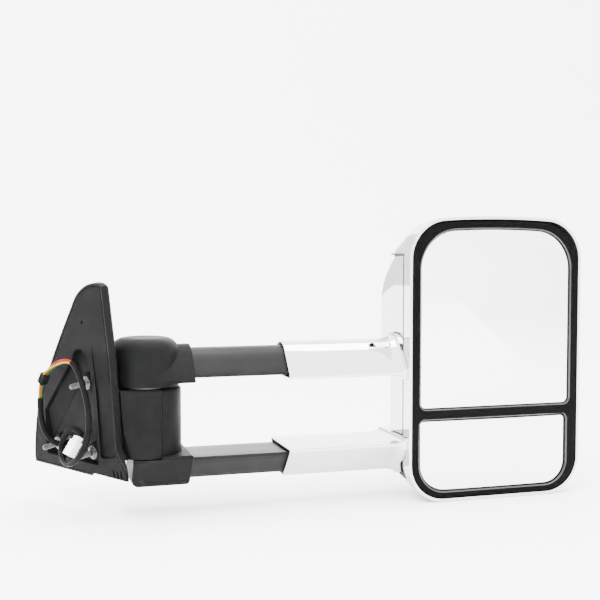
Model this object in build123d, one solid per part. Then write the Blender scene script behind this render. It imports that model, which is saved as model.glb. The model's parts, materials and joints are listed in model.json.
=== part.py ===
from build123d import *
from math import acos, atan2, cos, hypot, pi, radians, sin, tan
import os

# Right-hand extendable towing mirror. +X runs outboard along the arms, +Y points to the front of the
# car, +Z is up. The origin lies on the door face, level with the middle of the hinge, straight inboard
# of the hinge axis. All sizes in mm.

# --- door face and sail plate ---
door_yaw = 30           # the door face is turned this much from the car's long axis
door_lean = 8           # and leans inboard at its top
hinge_to_door = 52      # hinge axis to door face, measured level
corner_along = -25.2    # rear bottom corner of the sail plate, along the door face and up it
corner_up = -84.8
sail_depth = 11
sail_edge_depth = 8     # the plate is thinner for this far in from its edge
sail_edge_width = 3
sail_wall = 2.5
frame_gap = 0.5
frame_sheet = 3
stud_radius = 3
stud_reach = 18         # how far the studs stand out of the door face
stud_flange_radius = 7.5
stud_places = [(55, 101.5), (123, 27.5), (59, 26)]

# --- hinge post and knuckles ---
post_radius = 38
post_bottom = -60
post_top = 11
post_foot_reach = 62    # the post's side walls run to these two points, level with the door
post_foot_rear = -2     # and this far to the rear and front of the hinge axis
post_foot_front = 26
post_wall = 4
cap_radius = 37
cap_bottom = 13
cap_top = 63
cap_cavity_radius = 30.5
tube_radius = 11
tube_bore = 7.5
running_gap = 0.05
bush_wall = 2.5
upper_collar_end = 47.5
lower_collar_end = 45
lower_block_back = -17

# --- arms and sleeves ---
arm_half = 39.5         # half width of the sleeves and collars, front to back
upper_flat = 17.5       # flat underside of the upper sleeve
upper_crest = 54.6      # top of its dome
lower_flat = -57.5      # flat top of the lower sleeve
lower_keel = -91
lower_collar_keel = -94
keel_half = 12
shoulder_y = 20         # where the dome of the upper sleeve meets its sloping sides
shoulder_z = 45
lip = 3
sleeve_wall = 2.5
arm_inset = 4           # inner arm surface below the sleeve surface
arm_wall = 2.8
sleeve_start = 148
sleeve_end = 292
arm_start = 34
arm_end = 196
slide_travel = 90

# --- mirror head ---
rim_y = -45             # glass side edge of the shell
shell_wall = 3
cover_step = 4          # the front cover lies this much below the shell
cover_outer_x = 455
cover_top = 150
cover_low = -100
cover_rear_y = -28
recess_start_y = 14     # wall between the arms, at the inboard side
recess_end_x = 440
bezel_front = -44
bezel_back = -40
window_back = -36
bezel_sheet = 3
window_gap = 2.8
glass_front = -41.5
glass_thick = 2.5
heater_thick = 0.6
carrier_thick = 2.9
upper_centre = (388, 78)
lower_centre = (386, -73)
pivot_y = -28
ball_radius = 5.5
plunger_lever = 30

# (y, x inboard, x outboard, z bottom, z top, crown, corner radius) of the shell's sections, rim to nose
shell_sections = [
    (-45, 282, 492.5, -124.5, 186.5, 5.2, 42),
    (-15, 281, 492.0, -122.0, 185.5, 5.0, 44),
    (15, 279, 488.0, -113.0, 175.0, 4.5, 48),
    (40, 277, 477.0, -96.0, 153.0, 4.0, 50),
    (58, 284, 458.0, -74.0, 126.0, 3.0, 52),
]

hinge_x = hinge_to_door * cos(radians(door_yaw))
hinge_y = hinge_to_door * sin(radians(door_yaw))
outward = Vector(
    cos(radians(door_lean)) * cos(radians(door_yaw)),
    cos(radians(door_lean)) * sin(radians(door_yaw)),
    sin(radians(door_lean)),
)
forward = Vector(-sin(radians(door_yaw)), cos(radians(door_yaw)), 0)
door = Plane(origin=(0, 0, 0), x_dir=forward, z_dir=outward)
at_hinge = Pos(hinge_x, hinge_y, 0)


def on_door(shape):
    """Move a shape drawn from the plate's rear bottom corner, with Z outboard, on to the door face."""
    return door.location * Pos(corner_along, corner_up, 0) * shape


def door_point(along, up, out):
    """A point given from the plate's rear bottom corner, in the part's own frame."""
    return door.from_local_coords(Vector(corner_along + along, corner_up + up, out))


def disc(radius, z0, z1, x=0, y=0):
    return Pos(x, y, z0) * extrude(Circle(radius), z1 - z0)


def ring(outer, inner, z0, z1, x=0, y=0):
    return disc(outer, z0, z1, x, y) - disc(inner, z0 - 1, z1 + 1, x, y)


def block(x0, x1, y0, y1, z0, z1):
    return Pos((x0 + x1) / 2, (y0 + y1) / 2, (z0 + z1) / 2) * Box(x1 - x0, y1 - y0, z1 - z0)


def rod_y(radius, x, z, y0, y1):
    """A round bar along Y."""
    return Pos(x, y0, z) * Rot(-90, 0, 0) * extrude(Circle(radius), y1 - y0)


def rod_x(radius, y, z, x0, x1):
    """A round bar along X."""
    return Pos(x0, y, z) * Rot(0, 90, 0) * extrude(Circle(radius), x1 - x0)


# ---------------------------------------------------------------- sail plate and mounting

def sail_outline(inset):
    """The triangular plate's outline: level bottom, near upright rear edge, rounded apex, bowed slope."""
    bottom = Line((0, 0), (174, 0))
    toe = ThreePointArc((174, 0), (165, 37), (149, 74))
    slope = ThreePointArc((149, 74), (108, 127.5), (61.5, 182.5))
    apex = ThreePointArc((61.5, 182.5), (43, 199.5), (17, 207.5))
    corner = Line((17, 207.5), (4.5, 204))
    rear = Polyline((4.5, 204), (6, 130), (14, 36), (0, 14), (0, 0))
    face = make_face([bottom, toe, slope, apex, corner, rear])
    if inset:
        face = offset(face, amount=-inset, kind=Kind.INTERSECTION)
    return face


def recess_outline():
    """The arched opening on the door side, which shows the studs and the wiring."""
    return make_face([
        Line((50, 14), (146, 14)),
        Line((146, 14), (138, 64)),
        Line((138, 64), (72, 126)),
        ThreePointArc((72, 126), (53, 136), (43, 122)),
        Line((43, 122), (50, 14)),
    ])


def knuckle_relief():
    """Room round the hinge axis for the lower knuckle, which swings past the plate."""
    half = make_face(Polyline(
        (0, -95), (25.5, -95), (43.4, -60.6), (43.4, -57.2), (0, -57.2), (0, -95)))
    return at_hinge * revolve(Plane.XZ * half, Axis.Z)


def sail_cover():
    body = extrude(sail_outline(0), sail_edge_depth) + extrude(sail_outline(sail_edge_width), sail_depth)
    body -= Pos(0, 0, -1) * extrude(sail_outline(sail_wall), sail_edge_depth - sail_wall + 1)
    body -= Pos(0, 0, -1) * extrude(
        sail_outline(sail_edge_width + sail_wall), sail_depth - sail_wall + 1)
    return on_door(body) - knuckle_relief()


def mounting_frame():
    sheet = extrude(sail_outline(sail_wall + frame_gap), frame_sheet) - extrude(recess_outline(), 20)
    floor_level = sail_depth - sail_wall - 0.3
    outer = extrude(offset(recess_outline(), amount=2.5, kind=Kind.INTERSECTION), floor_level - 2)
    dish = Pos(0, 0, 2) * outer
    dish -= extrude(recess_outline(), floor_level - 2.5)
    dish -= disc(grommet_radius, 0, 20, *cord_exit)
    facet = Pos(0, 0, 4.2) * extrude(make_face(Polyline(
        (74, 94), (133, 36), (140, 36), (135, 62), (76, 118), (74, 94))), floor_level - 6)
    bosses = [disc(9, 2.2, floor_level - 1, x, y) for x, y in stud_places]
    body = sheet + dish + facet + bosses
    return on_door(body) - knuckle_relief()


def mounting_studs():
    studs = []
    for x, y in stud_places:
        flange = disc(stud_flange_radius, 0.6, 2.2, x, y)
        shank = Pos(x, y, -stud_reach) * extrude(Circle(stud_radius), stud_reach + 0.6)
        shank = chamfer(shank.edges().sort_by(Axis.Z)[0], 0.8)
        studs.append(on_door(flange + shank))
    return Compound(children=studs)


def cable_grommet():
    """The rubber ring that the lead leaves the frame through."""
    return on_door(ring(grommet_radius, cord_radius, 4.4, 8.2, *cord_exit))


# ---------------------------------------------------------------- wiring pigtail

cord_radius = 3
grommet_radius = 6.5
cord_exit = (107.5, 30)
# route of the free lead from the plate's rear bottom corner: along, up, and outboard of the door face
cord_route = [
    (107.5, 30, 6.4),
    (107.5, 30, -4),
    (109.5, 33, -11),
    (114.5, 40, -15.5),
    (120, 51, -17),
    (122, 69.5, -16),
    (119, 85.5, -15.5),
    (112.5, 100.5, -15.5),
    (103, 111.5, -15),
    (88.5, 120, -15),
    (74, 125.5, -15),
    (59, 128.5, -15),
    (48.5, 126.5, -15),
    (41, 117.5, -15),
    (36.5, 104, -15),
    (33, 89.5, -15),
    (32, 74.5, -15.5),
    (31.5, 61.5, -17.5),
    (32.5, 48, -21.5),
    (36.5, 37, -26),
    (45.5, 28, -28.5),
    (60.5, 21, -27.5),
    (76, 20, -24),
    (87.5, 25.5, -19),
    (92, 34, -14.5),
    (89.5, 43, -11),
    (82, 51, -8.5),
    (71.5, 52.5, -7),
    (63.5, 47.5, -6.5),
]


def cord_path():
    points = [door_point(*p) for p in cord_route]
    radii = []
    for a, b, c in zip(points, points[1:], points[2:]):
        half_turn = (b - a).get_angle(c - b) / 2
        radii.append(0.45 * min((b - a).length, (c - b).length) / tan(radians(half_turn)))
    print("cord radii", [round(r, 1) for r in radii])
    path = FilletPolyline(*points, radius=radii)
    print("cord length", round(path.length, 1))
    return path


def harness_lead():
    path = cord_path()
    start = Plane(origin=path @ 0, z_dir=path % 0)
    tube = sweep(start * Circle(cord_radius), path=path)
    print("cord volume ratio", round(tube.volume / (pi * cord_radius**2 * path.length), 4))
    return tube


def harness_clip():
    """A ribbed clip that gathers the loose wires half way along."""
    run = door_point(103, 111.5, -15) - door_point(112.5, 100.5, -15.5)
    seat = Plane(origin=door_point(107.5, 105.5, -15.2), x_dir=outward, z_dir=run)
    return seat.location * Box(9, 9, 14)


def harness_connector():
    """The flat moulded plug on the lead's end, which hangs down and away from the door face."""
    top = door_point(68.5, 44, -7)
    seat = Plane(origin=top, x_dir=forward, z_dir=door_point(70, 27.5, -21.5) - top)
    body = Pos(0, 0, 11) * Box(13, 9, 22)
    body = fillet(body.edges().filter_by(Axis.Z), 1.2)
    return seat.location * body


# ---------------------------------------------------------------- hinge post

def tangent_point(radius, x, y, side):
    """Where a line from a point outside a circle at the origin touches it: side 1 is +Y, -1 is -Y."""
    turn = atan2(y, x) + side * acos(radius / hypot(x, y))
    return radius * cos(turn), radius * sin(turn)


def post_plan(inset):
    """Plan of the post: a round nose whose side walls draw in towards the door."""
    radius = post_radius - inset
    rear = (post_foot_reach, post_foot_rear - inset)
    front = (post_foot_reach, inset - post_foot_front)
    start = tangent_point(radius, *rear, 1)
    wedge = make_face(Polyline(start, rear, front, tangent_point(radius, *front, -1), start))
    return Rot(0, 0, 180 + door_yaw) * (Circle(radius) + wedge)


def door_half_space(level):
    """Everything inboard of a plane this far out from the door face, as one large block."""
    return door.location * Pos(0, 0, level - 100) * Box(400, 500, 200)


def post_shell():
    body = at_hinge * Pos(0, 0, post_bottom) * extrude(post_plan(0), post_top - post_bottom)
    room = at_hinge * Pos(0, 0, post_bottom + post_wall) * extrude(
        post_plan(post_wall), post_top - post_bottom - 2 * post_wall)
    body = body - door_half_space(sail_depth + 0.1) - room
    body -= at_hinge * disc(tube_radius, post_bottom - 1, post_top + 1)
    return body


def pivot_tube():
    return at_hinge * ring(tube_radius, tube_bore, -86, 52)


def fixed_detent_ring():
    body = ring(24, tube_radius, post_top, post_top + 3)
    for k in range(4):
        body += Rot(0, 0, 90 * k + 45) * rod_x(1.6, 0, post_top + 3, 15, 22)
    return at_hinge * body


def moving_detent_ring():
    z = post_top + 5.1
    return at_hinge * ring(24, tube_radius + 0.6, z, z + 3.4)


def disc_springs():
    """Six conical washers, nested as three facing pairs."""
    pieces = []
    for k in range(6):
        low = 27.5 + 2.9 * k
        drop = 0 if k % 2 else 1.2
        rise = 1.2 - drop
        profile = make_face(Polyline(
            (12, low + rise), (22, low + drop), (22, low + drop + 1.4),
            (12, low + rise + 1.4), (12, low + rise)))
        pieces.append(at_hinge * revolve(Plane.XZ * profile, Axis.Z))
    return Compound(children=pieces)


def spring_washer():
    return at_hinge * ring(22, tube_radius, 45, 46.4)


def retaining_nut():
    body = Pos(0, 0, 46.4) * extrude(RegularPolygon(17, 6), 5)
    return at_hinge * (body - disc(tube_radius, 40, 60))


# ---------------------------------------------------------------- arm profiles (Y across, Z up)

def drawn_in(face, inset):
    """The same YZ face with every edge moved in."""
    if inset:
        face = offset(face, amount=-inset, kind=Kind.INTERSECTION)
    return Plane.YZ * face


def upper_profile(inset):
    """Flat underside, small upright lips, sloping sides and a domed crest."""
    return drawn_in(make_face([
        Line((-arm_half, upper_flat), (arm_half, upper_flat)),
        Line((arm_half, upper_flat), (arm_half, upper_flat + lip)),
        Line((arm_half, upper_flat + lip), (shoulder_y, shoulder_z)),
        ThreePointArc((shoulder_y, shoulder_z), (0, upper_crest), (-shoulder_y, shoulder_z)),
        Line((-shoulder_y, shoulder_z), (-arm_half, upper_flat + lip)),
        Line((-arm_half, upper_flat + lip), (-arm_half, upper_flat)),
    ]), inset)


def lower_profile(inset, keel=lower_keel):
    """Flat top, small upright lips, and sides that slope in to a narrow keel."""
    low_lip = lower_flat - lip
    return drawn_in(make_face(Polyline(
        (-arm_half, lower_flat), (arm_half, lower_flat), (arm_half, low_lip), (keel_half, keel),
        (-keel_half, keel), (-arm_half, low_lip), (-arm_half, lower_flat))), inset)


def arm_bar(profile, x0, x1):
    return at_hinge * Pos(x0, 0, 0) * extrude(profile, x1 - x0)


def rounded_bar(profile, x0, x1, radius):
    """A bar with its long edges rounded."""
    bar = Pos(x0, 0, 0) * extrude(profile, x1 - x0)
    return at_hinge * fillet(bar.edges().filter_by(Axis.X), radius)


def upper_knuckle():
    cap = disc(cap_radius, cap_bottom, cap_top)
    cap = fillet(cap.edges().sort_by(Axis.Z)[-1], 17)
    cap = at_hinge * cap
    collar = rounded_bar(upper_profile(0), -12, upper_collar_end, 1.2)
    plan = make_face(Polyline(
        (-12, -34.4), (16, -40), (60, -40), (60, 40), (16, 40), (-12, 34.4), (-12, -34.4)))
    collar &= at_hinge * extrude(plan, 80)
    body = cap + collar
    body -= at_hinge * disc(cap_cavity_radius, cap_bottom - 1, 19.5)
    body -= at_hinge * disc(cap_cavity_radius, 24.5, cap_top - 5)
    body -= at_hinge * disc(tube_radius + running_gap + bush_wall, 10, 30)
    body -= arm_bar(upper_profile(arm_inset), arm_start, upper_collar_end + 1)
    return body - arm_screws()


def lower_knuckle():
    block_shape = rounded_bar(
        lower_profile(0, lower_collar_keel), lower_block_back - 5, lower_collar_end, 1.2)
    plan = make_face(Polyline(
        (lower_block_back, -36), (-12, -38.6), (4, -40), (60, -40), (60, 40), (4, 40), (-12, 38.6),
        (lower_block_back, 36), (lower_block_back, -36)))
    body = block_shape & at_hinge * Pos(0, 0, -100) * extrude(plan, 80)
    body -= at_hinge * disc(post_radius + 0.6, post_bottom - 0.6, -50)
    body -= at_hinge * post_swing_room()
    body -= at_hinge * disc(tube_radius + running_gap + bush_wall, -95, -50)
    body -= arm_bar(lower_profile(arm_inset), arm_start, lower_collar_end + 1)
    return body - arm_screws()


def post_swing_room():
    """The block's top sinks a little below the collar so that it swings clear of the post."""
    return block(-60, post_radius + 0.6, -60, 60, post_bottom - 0.6, -50)


def upper_bush():
    inner = tube_radius + running_gap
    return at_hinge * ring(inner + bush_wall, inner, 19.5, 24.5)


def lower_bush():
    inner = tube_radius + running_gap
    return at_hinge * ring(inner + bush_wall, inner, -84, post_bottom - 0.6)


def hollow_arm(profile, x0, x1):
    outer = rounded_bar(profile(arm_inset), x0, x1, 2.5)
    inner = arm_bar(profile(arm_inset + arm_wall), x0 - 1, x1 + 1)
    return outer - inner


def upper_arm():
    return hollow_arm(upper_profile, arm_start, arm_end)


def lower_arm():
    return hollow_arm(lower_profile, arm_start, arm_end)


def arm_end_plugs():
    """A plug in the outboard end of each arm."""
    return Compound(children=[
        arm_bar(profile(arm_inset + arm_wall + 0.1), arm_end - 8, arm_end)
        for profile in (upper_profile, lower_profile)
    ])


def arm_screws():
    """Screws from below and above that pin the arms in their collars."""
    screws = []
    for y in (-15, 15):
        screws.append(at_hinge * disc(2, upper_flat + 0.4, upper_flat + arm_inset, 41, y))
        screws.append(at_hinge * disc(2, lower_flat - arm_inset, lower_flat - 0.4, 40, y))
    return Compound(children=screws)


# ---------------------------------------------------------------- sleeves

def sleeve(profile):
    outer = rounded_bar(profile(0), sleeve_start, sleeve_end, 1.2)
    inner = arm_bar(profile(sleeve_wall), sleeve_start - 1, sleeve_end - 4)
    return outer - inner


def upper_sleeve():
    return sleeve(upper_profile)


def lower_sleeve():
    return sleeve(lower_profile)


def glide_pads():
    """Two low-friction pads in each sleeve, which the inner arm runs on."""
    thick = arm_inset - sleeve_wall - 0.35
    pads = []
    for y in (-22, 22):
        pads.append(at_hinge * block(154, 180, y - 7, y + 7,
                                     upper_flat + sleeve_wall, upper_flat + sleeve_wall + thick))
        pads.append(at_hinge * block(154, 180, y - 7, y + 7,
                                     lower_flat - sleeve_wall - thick, lower_flat - sleeve_wall))
    return Compound(children=pads)


# ---------------------------------------------------------------- mirror head

def section_face(x0, x1, z0, z1, crown, r_bottom, r_top_in, r_top_out):
    """A rounded rectangle in the XZ plane with a crowned top edge."""
    middle = (x0 + x1) / 2
    face = make_face([
        Line((x0, z0), (x1, z0)),
        Line((x1, z0), (x1, z1)),
        ThreePointArc((x1, z1), (middle, z1 + crown), (x0, z1)),
        Line((x0, z1), (x0, z0)),
    ])
    corners = face.vertices()
    low = [v for v in corners if v.Y < (z0 + z1) / 2]
    face = fillet(low, r_bottom)
    high_in = [v for v in face.vertices() if v.Y > z1 - 1 and v.X < x0 + 1]
    face = fillet(high_in, r_top_in)
    high_out = [v for v in face.vertices() if v.Y > z1 - 1 and v.X > x1 - 1]
    return fillet(high_out, r_top_out)


def facing(y):
    """The plane at this Y whose own X and Y are the part's X and Z."""
    return Plane(origin=(hinge_x, hinge_y + y, 0), x_dir=(1, 0, 0), z_dir=(0, -1, 0))


def slab(face, y0, y1):
    """A face drawn in X and Z, made solid from y0 to y1."""
    return facing(y1) * extrude(face, y1 - y0)


def head_form(inset):
    """The head's outer shape, drawn in by inset on every side."""
    faces = []
    for k, (y, x0, x1, z0, z1, crown, r) in enumerate(shell_sections):
        depth = y - inset if k == len(shell_sections) - 1 else y
        face = section_face(x0 + inset, x1 - inset, z0 + inset, z1 - inset, crown,
                            r - inset, r - inset, r - inset)
        faces.append(facing(depth) * face)
    return loft(faces)


def arm_recess(grow):
    """The hollow between the two sleeves on the front of the head, a wedge that dies out outboard."""
    plan = make_face(Polyline(
        (260, recess_start_y - grow), (300, recess_start_y - grow), (recess_end_x, 56 - grow),
        (recess_end_x + 30, 100), (260, 100), (260, recess_start_y - grow)))
    low = lower_flat - grow
    high = upper_flat + grow
    return at_hinge * Pos(0, 0, low) * extrude(plan, high - low)


def cover_region(grow):
    return at_hinge * block(240, cover_outer_x + grow, cover_rear_y - grow, 120,
                            cover_low - grow, cover_top + grow)


def sleeve_holes():
    gap = -0.3
    return arm_bar(upper_profile(gap), 250, 300) + arm_bar(lower_profile(gap), 250, 300)


def head_shell():
    wall = head_form(0) - head_form(shell_wall)
    return wall - cover_region(0) - sleeve_holes()


def front_cover():
    outer = head_form(cover_step) - arm_recess(0)
    inner = head_form(cover_step + shell_wall) - arm_recess(shell_wall)
    wall = (outer - inner) & cover_region(5)
    return wall - sleeve_holes()


def bezel():
    outer = section_face(285, 490.5, -121.5, 182.5, 4.7, 35, 38, 44)
    inner = section_face(287, 488.5, -119.5, 180.5, 4.7, 33, 36, 42)
    frame = slab(outer, bezel_front, bezel_back) - slab(inner, bezel_front + bezel_sheet, bezel_back + 1)
    for window in (upper_window, lower_window):
        frame += slab(window(-1.6), bezel_front, window_back)
        frame -= slab(window(0), bezel_front - 1, window_back + 1)
    return frame & head_form(shell_wall + 0.1)


def upper_window(inset):
    return section_face(296.5 + inset, 479.5 - inset, -21.5 + inset, 173.5 - inset, 4.6,
                        7 - inset / 2, 38 - inset, 38 - inset)


def lower_window(inset):
    x0, x1, z0, z1 = 294.5 + inset, 477.5 - inset, -114 + inset, -33 - inset
    face = make_face(Polyline((x0, z0), (x1, z0), (x1, z1), (x0, z1), (x0, z0)))
    face = fillet([v for v in face.vertices() if v.Y > -60], 6 - inset / 2)
    low_in = [v for v in face.vertices() if v.Y < z0 + 1 and v.X < x0 + 1]
    face = fillet(low_in, 30 - inset)
    low_out = [v for v in face.vertices() if v.Y < z0 + 1 and v.X > x1 - 1]
    return fillet(low_out, 26 - inset)


def glass_pack(window, y_front, thick, inset):
    return slab(window(window_gap + inset), y_front, y_front + thick)


def upper_glass():
    return glass_pack(upper_window, glass_front, glass_thick, 0)


def lower_glass():
    return glass_pack(lower_window, glass_front, glass_thick, 0)


def heater_pad():
    return glass_pack(upper_window, glass_front + glass_thick, heater_thick, 3)


def carrier(window, centre):
    """The plastic plate behind a glass, with the socket of its ball joint."""
    x, z = centre
    front = glass_front + glass_thick + heater_thick
    plate = glass_pack(window, front, carrier_thick, 1.2)
    socket = rod_y(13, x, z, front + 1, pivot_y + 1) - rod_y(9, x, z, front + 1.6, pivot_y + 2)
    socket = at_hinge * socket
    return plate + socket


def upper_carrier():
    return carrier(upper_window, upper_centre)


def lower_carrier():
    return carrier(lower_window, lower_centre)


def lower_bond_pad():
    return glass_pack(lower_window, glass_front + glass_thick, heater_thick, 3)


def pivot_ring(centre):
    x, z = centre
    return at_hinge * (rod_y(8.5, x, z, pivot_y - 2.4, pivot_y + 2.4)
                       - rod_y(6, x, z, pivot_y - 3, pivot_y + 3))


def ball_stud(centre, back):
    x, z = centre
    ball = Pos(x, pivot_y, z) * Sphere(ball_radius)
    stem = rod_y(3.2, x, z, pivot_y, back)
    return at_hinge * (ball + stem)


def upper_ball_stud():
    return ball_stud(upper_centre, -22)


def lower_ball_stud():
    x, z = lower_centre
    foot = at_hinge * rod_y(16, x, z, -12, 4)
    return ball_stud(lower_centre, -11) + foot


def actuator_outline(inset):
    x, z = upper_centre
    return Pos(x, z) * RectangleRounded(2 * (42 - inset), 2 * (38 - inset), 16 - inset)


def actuator_housing():
    body = slab(actuator_outline(0), -22, 1) - slab(actuator_outline(2), -20, 2)
    for dx, dz in ((0, plunger_lever), (plunger_lever, 0)):
        body -= at_hinge * rod_y(3.4, upper_centre[0] + dx, upper_centre[1] + dz, -30, -15)
    return body


def actuator_back():
    return slab(actuator_outline(0), 1, 4)


def actuator_motors():
    x, z = upper_centre
    return Compound(children=[
        at_hinge * block(x - 24, x - 6, -15, -1, z - 30, z - 6),
        at_hinge * block(x + 2, x + 26, -15, -1, z - 30, z - 14),
    ])


def plunger(dx, dz):
    x, z = upper_centre[0] + dx, upper_centre[1] + dz
    tip = Pos(x, -32.6, z) * Sphere(2.4)
    return at_hinge * (rod_y(2.4, x, z, -32.6, -8) + tip)


def tilt_plunger():
    return plunger(0, plunger_lever)


def pan_plunger():
    return plunger(plunger_lever, 0)


def head_frame():
    """The moulded carrier behind the glasses that ties the sleeves, actuator and shell together."""
    plate = block(296, 462, 4, 8, -92, 140)
    plate -= block(320, 450, 0, 12, -40, 20)
    plate = fillet(plate.edges().filter_by(Axis.Y), 10)
    web = block(292, 296, -18, 8, -88, 52)
    web -= block(280, 300, -30, 2, -50, 10)
    return at_hinge * (plate + web)


def housing_screws():
    x, z = upper_centre
    return Compound(children=[
        at_hinge * rod_y(3.2, x + sx * 33, z + sz * 29, 8, 10.5) for sx in (-1, 1) for sz in (-1, 1)
    ])


pieces = [
    sail_cover, mounting_frame, mounting_studs, cable_grommet, harness_lead, harness_clip,
    harness_connector, post_shell, pivot_tube, fixed_detent_ring, disc_springs, spring_washer,
    retaining_nut, moving_detent_ring, upper_knuckle, lower_knuckle, upper_bush, lower_bush, upper_arm,
    lower_arm, arm_end_plugs, arm_screws, upper_sleeve, lower_sleeve, glide_pads, head_shell, front_cover,
    bezel, head_frame, actuator_housing, actuator_back, actuator_motors, housing_screws, upper_ball_stud,
    lower_ball_stud, tilt_plunger, pan_plunger, upper_carrier, heater_pad, upper_glass, lower_carrier,
    lower_bond_pad, lower_glass,
]

os.makedirs("parts", exist_ok=True)
for piece in pieces:
    export_step(piece(), f"parts/{piece.__name__}.step")
export_step(pivot_ring(upper_centre), "parts/upper_pivot_ring.step")
export_step(pivot_ring(lower_centre), "parts/lower_pivot_ring.step")
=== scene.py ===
import json
import math

import bmesh
import bpy
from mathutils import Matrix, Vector


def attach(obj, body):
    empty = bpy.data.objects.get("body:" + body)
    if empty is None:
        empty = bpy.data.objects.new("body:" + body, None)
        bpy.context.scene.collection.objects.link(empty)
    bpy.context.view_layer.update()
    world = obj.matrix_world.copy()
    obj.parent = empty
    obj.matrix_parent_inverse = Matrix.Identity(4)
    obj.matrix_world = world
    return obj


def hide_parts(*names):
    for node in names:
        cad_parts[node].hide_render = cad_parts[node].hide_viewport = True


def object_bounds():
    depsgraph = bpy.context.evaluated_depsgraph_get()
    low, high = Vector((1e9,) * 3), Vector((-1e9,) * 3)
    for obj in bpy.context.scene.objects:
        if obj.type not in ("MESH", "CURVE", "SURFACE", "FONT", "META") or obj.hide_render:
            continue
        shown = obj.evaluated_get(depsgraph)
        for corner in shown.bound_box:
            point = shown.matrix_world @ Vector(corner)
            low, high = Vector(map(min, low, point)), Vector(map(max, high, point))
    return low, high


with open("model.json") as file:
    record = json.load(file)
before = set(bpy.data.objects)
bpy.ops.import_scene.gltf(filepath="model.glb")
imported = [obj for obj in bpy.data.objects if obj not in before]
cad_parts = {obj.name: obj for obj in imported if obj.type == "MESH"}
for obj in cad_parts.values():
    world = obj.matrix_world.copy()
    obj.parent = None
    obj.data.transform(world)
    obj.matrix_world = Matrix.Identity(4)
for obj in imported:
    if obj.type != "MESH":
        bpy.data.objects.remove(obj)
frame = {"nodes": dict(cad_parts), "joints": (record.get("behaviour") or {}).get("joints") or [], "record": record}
cad_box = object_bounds()

MM = 0.001

# ---- places taken from the frame

joints = {j["name"]: j for j in frame["joints"]}
mounts = {m["name"]: m for m in frame["record"]["mounts"]}
hinge = Vector((joints["fold"]["pos_m"][0], joints["fold"]["pos_m"][1], 0))
outward = -Vector(mounts["door_face"]["axis"])
along = Vector((0, 0, 1)).cross(outward).normalized()
upward = outward.cross(along)

# the sail plate's rear bottom corner, measured along the door face and up it from the origin, in mm
PLATE_CORNER = (-25.2, -84.8)


def at(x, y, z):
    """A point in mm from the hinge axis: outboard, forward and up."""
    return hinge + Vector((x, y, z)) * MM


def door(a, u, out):
    """A point in mm from the sail plate's rear bottom corner: along the door, up it and outboard."""
    a += PLATE_CORNER[0]
    u += PLATE_CORNER[1]
    return (along * a + upward * u + outward * out) * MM


# ---- camera, floor and light

VIEW_FROM = Vector((-0.0954, -1.0257, 0.1535))
VIEW_YAW = math.radians(16.48)
VIEW_PITCH = math.radians(2.82)
VIEW_LENS = 60.0


def make_camera():
    data = bpy.data.cameras.new("camera")
    data.lens = VIEW_LENS
    data.sensor_width = 36
    camera = bpy.data.objects.new("camera", data)
    bpy.context.collection.objects.link(camera)
    look = Vector((
        math.sin(VIEW_YAW) * math.cos(VIEW_PITCH),
        math.cos(VIEW_YAW) * math.cos(VIEW_PITCH),
        -math.sin(VIEW_PITCH),
    ))
    camera.location = VIEW_FROM
    camera.rotation_euler = look.to_track_quat("-Z", "Y").to_euler()
    bpy.context.scene.camera = camera


make_camera()

# ---- node helpers


class Surface:
    """A node material with its Principled shader, and short calls that add nodes to it."""

    def __init__(self, name, color, roughness, metallic=0.0):
        self.material = bpy.data.materials.new(name)
        self.material.use_nodes = True
        self.tree = self.material.node_tree
        self.shader = next(n for n in self.tree.nodes if n.type == "BSDF_PRINCIPLED")
        self.set("Base Color", (*color, 1))
        self.set("Roughness", roughness)
        self.set("Metallic", metallic)
        self.place = self.add("ShaderNodeTexCoord").outputs["Object"]

    def add(self, kind, **values):
        node = self.tree.nodes.new(kind)
        for key, value in values.items():
            if hasattr(node, key):
                setattr(node, key, value)
            else:
                node.inputs[key].default_value = value
        return node

    def link(self, source, target):
        self.tree.links.new(source, target)

    def set(self, socket, value):
        self.shader.inputs[socket].default_value = value

    def noise(self, scale, detail=3.0, stretch=(1, 1, 1), distortion=0.0):
        """Noise in the object's own metres, which stretch lengthens or squeezes by axis."""
        place = self.add("ShaderNodeMapping")
        place.inputs["Scale"].default_value = stretch
        self.link(self.place, place.inputs["Vector"])
        node = self.add("ShaderNodeTexNoise", Scale=scale, Detail=detail, Distortion=distortion)
        self.link(place.outputs[0], node.inputs["Vector"])
        return node.outputs["Fac"]

    def cells(self, scale, smooth=0.4):
        node = self.add("ShaderNodeTexVoronoi", feature="SMOOTH_F1", Scale=scale, Smoothness=smooth)
        self.link(self.place, node.inputs["Vector"])
        return node.outputs["Distance"]

    def ramp(self, source, low, high, start=0.3, end=0.7):
        """A number from low to high as the source goes from start to end."""
        node = self.add("ShaderNodeMapRange")
        for socket, value in (("From Min", start), ("From Max", end), ("To Min", low), ("To Max", high)):
            node.inputs[socket].default_value = value
        self.link(source, node.inputs["Value"])
        return node.outputs["Result"]

    def tint(self, source, first, second, start=0.3, end=0.7):
        """A colour between two as the source goes from start to end."""
        node = self.add("ShaderNodeValToRGB")
        low, high = node.color_ramp.elements
        low.position, low.color = start, (*first, 1)
        high.position, high.color = end, (*second, 1)
        self.link(source, node.inputs["Fac"])
        return node.outputs["Color"]

    def bump(self, source, depth, strength=1.0, under=None):
        """Relief of that depth in metres, over another bump if one is given."""
        node = self.add("ShaderNodeBump", Strength=strength, Distance=depth)
        self.link(source, node.inputs["Height"])
        if under is not None:
            self.link(under, node.inputs["Normal"])
        return node.outputs["Normal"]

    def feed(self, source, socket):
        self.link(source, self.shader.inputs[socket])


# ---- materials


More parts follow.
